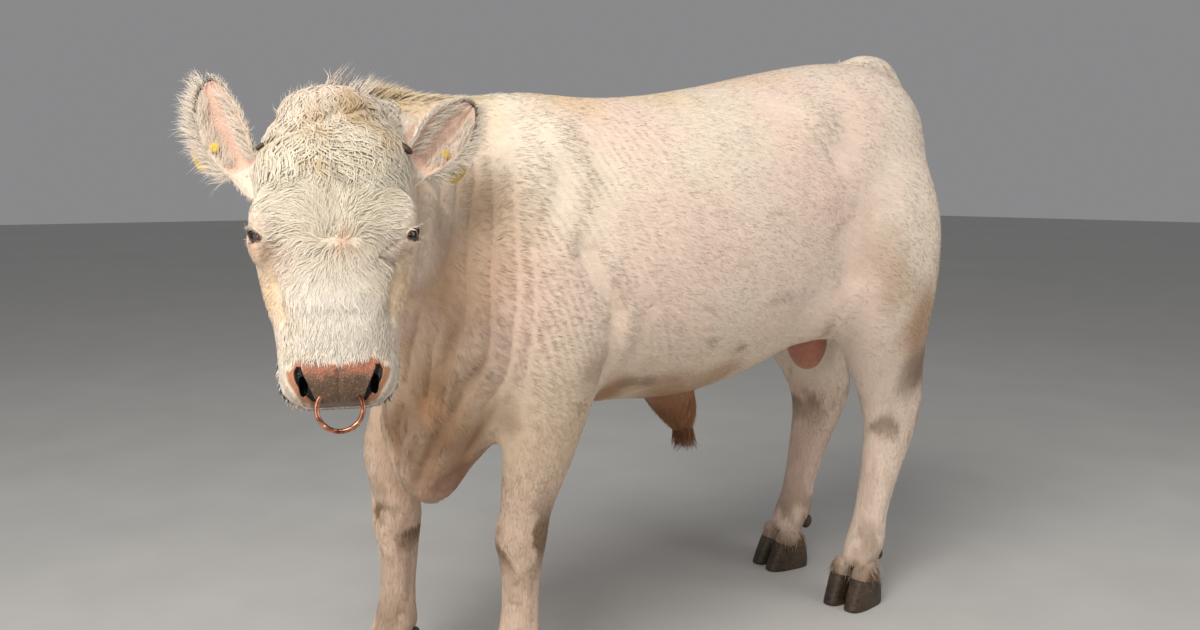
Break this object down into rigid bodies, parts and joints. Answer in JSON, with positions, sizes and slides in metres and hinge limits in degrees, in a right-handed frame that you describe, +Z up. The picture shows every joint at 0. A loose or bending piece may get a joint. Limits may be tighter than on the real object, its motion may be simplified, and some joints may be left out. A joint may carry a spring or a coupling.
{
  "type": "beef shorthorn bull model",
  "caption": "Life-size still model of a young white beef shorthorn bull standing square with its head turned to its left, horn scurs, ear tags and a nose ring.",
  "frame": {"origin": "middle of the bounding box at the height of the soles", "axes": "+X towards the animal's chest, +Y to its left side, +Z up"},
  "size_m": [1.8824, 0.6708, 1.3586],
  "materials": {
    "coat": "short creamy white hair",
    "skin": "bare pink skin",
    "horn": "dull dark horn",
    "hoof": "dull dark hoof horn",
    "eye": "wet dark eye",
    "copper": "polished copper",
    "tag": "yellow tag plastic"
  },
  "bodies": {
    "root": {"head": "coat", "neck": "coat", "torso": "coat", "tail": "coat", "sheath": "skin", "scrotum": "skin", "ear_left": "coat", "foreleg_left": "coat", "hindleg_left": "coat", "eye_left": "eye", "scur_left": "horn", "ear_tag_left": "tag", "claw_fore_left_outer": "hoof", "dewclaw_fore_left_outer": "hoof", "claw_fore_left_inner": "hoof", "dewclaw_fore_left_inner": "hoof", "claw_hind_left_outer": "hoof", "dewclaw_hind_left_outer": "hoof", "claw_hind_left_inner": "hoof", "dewclaw_hind_left_inner": "hoof", "ear_right": "coat", "foreleg_right": "coat", "hindleg_right": "coat", "eye_right": "eye", "scur_right": "horn", "ear_tag_right": "tag", "claw_fore_right_outer": "hoof", "dewclaw_fore_right_outer": "hoof", "claw_fore_right_inner": "hoof", "dewclaw_fore_right_inner": "hoof", "claw_hind_right_outer": "hoof", "dewclaw_hind_right_outer": "hoof", "claw_hind_right_inner": "hoof", "dewclaw_hind_right_inner": "hoof", "nose_ring": "copper"}
  },
  "joints": []
}
